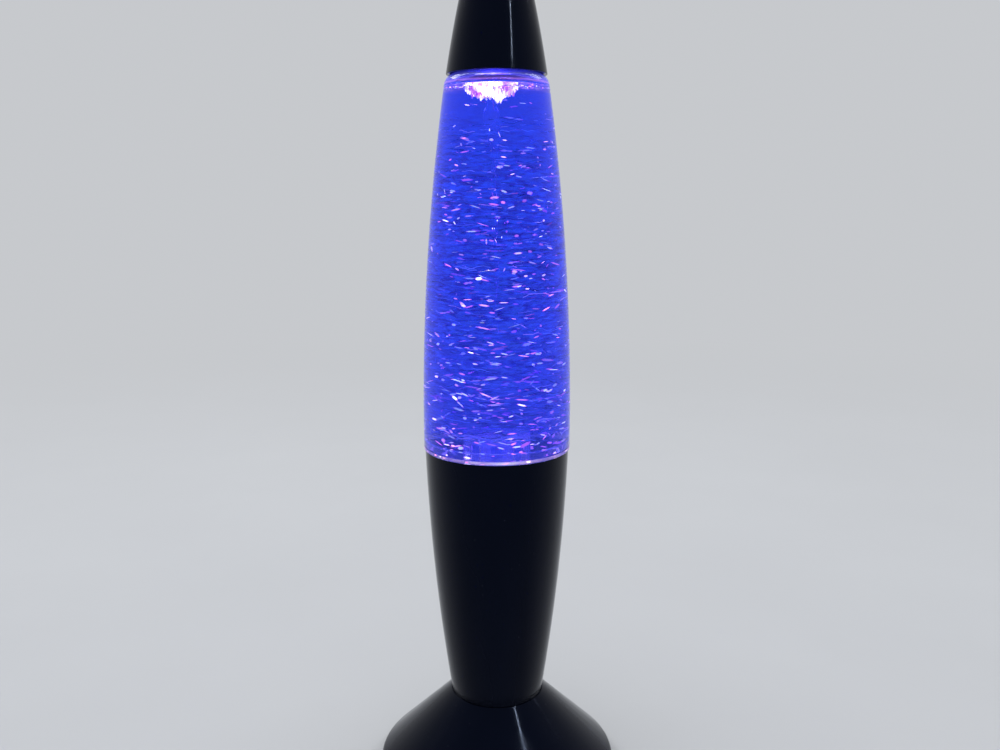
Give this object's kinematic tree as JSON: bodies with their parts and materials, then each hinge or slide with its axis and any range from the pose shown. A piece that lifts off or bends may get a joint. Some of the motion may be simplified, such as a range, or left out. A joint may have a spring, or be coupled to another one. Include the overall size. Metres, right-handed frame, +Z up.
{
  "type": "tornado lamp",
  "caption": "Battery or adapter fed vortex lamp: clear water bottle with glitter on a slim cone housing with a flared foot, under a tapered cap.",
  "frame": {"origin": "centre of the foot on the table, under the rubber feet", "axes": "+Z up along the lamp's axis, -Y to the front, +Y to the rear with the switch and the power inlet"},
  "size_m": [0.1174, 0.1174, 0.406],
  "materials": {
    "gloss_black": "high gloss",
    "black_plastic": "fine texture",
    "black_rubber": "matt",
    "steel": "plated",
    "cell_jacket": "plain printed sleeve",
    "plated_spring": "plated",
    "circuit_board": "solder mask",
    "chip_black": "moulded",
    "brass_tab": "stamped",
    "white_plastic": "satin",
    "ferrite": "ground",
    "armature_iron": "laminated",
    "plated_magnet": "nickel plated",
    "led_lens": "clear",
    "clear_plastic": "polished clear",
    "blue_water": "clear, lit blue",
    "glitter": "metallised",
    "gasket_rubber": "soft",
    "wire_red": "insulation",
    "wire_black": "insulation"
  },
  "bodies": {
    "base": {"foot_shell": "gloss_black", "housing_cone": "gloss_black", "bottom_cover": "black_plastic", "rubber_feet": "black_rubber", "cover_screws": "steel", "waist_screws": "steel", "battery_cells": "cell_jacket", "bridge_contacts": "plated_spring", "end_contacts": "plated_spring", "socket_shell": "steel", "socket_tongue": "black_plastic", "power_board": "circuit_board", "board_chips": "chip_black", "board_screws": "steel", "switch_housing": "black_plastic", "switch_terminals": "brass_tab", "motor_can": "steel", "motor_end_cap": "white_plastic", "motor_terminals": "brass_tab", "motor_magnets": "ferrite", "motor_deck": "white_plastic", "deck_screws": "steel", "motor_screws": "steel", "led_board": "circuit_board", "leds": "led_lens", "led_board_screws": "steel", "light_window": "clear_plastic", "switch_wires": "wire_red", "battery_wires": "wire_black", "led_wires": "wire_red", "motor_wires": "wire_black"},
    "rotor": {"motor_shaft": "steel", "motor_armature": "armature_iron", "motor_commutator": "brass_tab", "magnet_holder": "white_plastic", "drive_magnets": "plated_magnet"},
    "door": {"battery_door": "black_plastic"},
    "rocker": {"switch_rocker": "gloss_black"},
    "bottle": {"bottle": "clear_plastic", "bottle_base": "clear_plastic", "impeller_pin": "steel", "impeller_cage": "clear_plastic", "water": "blue_water", "glitter_flakes": "glitter"},
    "stirrer": {"impeller": "white_plastic", "impeller_magnets": "plated_magnet"},
    "lid_seal": {"lid_gasket": "gasket_rubber"},
    "lid": {"bottle_lid": "white_plastic"},
    "cap": {"top_cap": "gloss_black"}
  },
  "joints": [
    {"name": "motor_spin", "type": "hinge", "parent": "base", "child": "rotor", "pos_m": [0, 0, 0.1344], "axis": [0, 0, 1], "continuous": true},
    {"name": "battery_door_turn", "type": "hinge", "parent": "base", "child": "door", "pos_m": [-0.0283, 0, 0.0026], "axis": [0, 1, 0], "range_deg": [0, 90]},
    {"name": "switch_rock", "type": "hinge", "parent": "base", "child": "rocker", "pos_m": [0, 0.03884, 0.02557], "axis": [1, 0, 0], "range_deg": [-14, 0]},
    {"name": "bottle_lift", "type": "slide", "parent": "base", "child": "bottle", "axis": [0, 0, 1], "range_m": [0, 0.03]},
    {"name": "stirrer_spin", "type": "hinge", "parent": "bottle", "child": "stirrer", "pos_m": [0, 0, 0.1606], "axis": [0, 0, 1], "continuous": true},
    {"name": "lid_rise", "type": "slide", "parent": "bottle", "child": "lid_seal", "axis": [0, 0, 1], "range_m": [0, 0.0061]},
    {"name": "lid_turn", "type": "hinge", "parent": "lid_seal", "child": "lid", "pos_m": [0, 0, 0.34714], "axis": [0, 0, 1], "range_deg": [0, 720]},
    {"name": "cap_lift", "type": "slide", "parent": "bottle", "child": "cap", "axis": [0, 0, 1], "range_m": [0, 0.04]}
  ],
  "couplings": [
    {"joint": "stirrer_spin", "follows": "motor_spin", "ratio": 1},
    {"joint": "lid_rise", "follows": "lid_turn", "m_per_rad": 0.00047746}
  ]
}
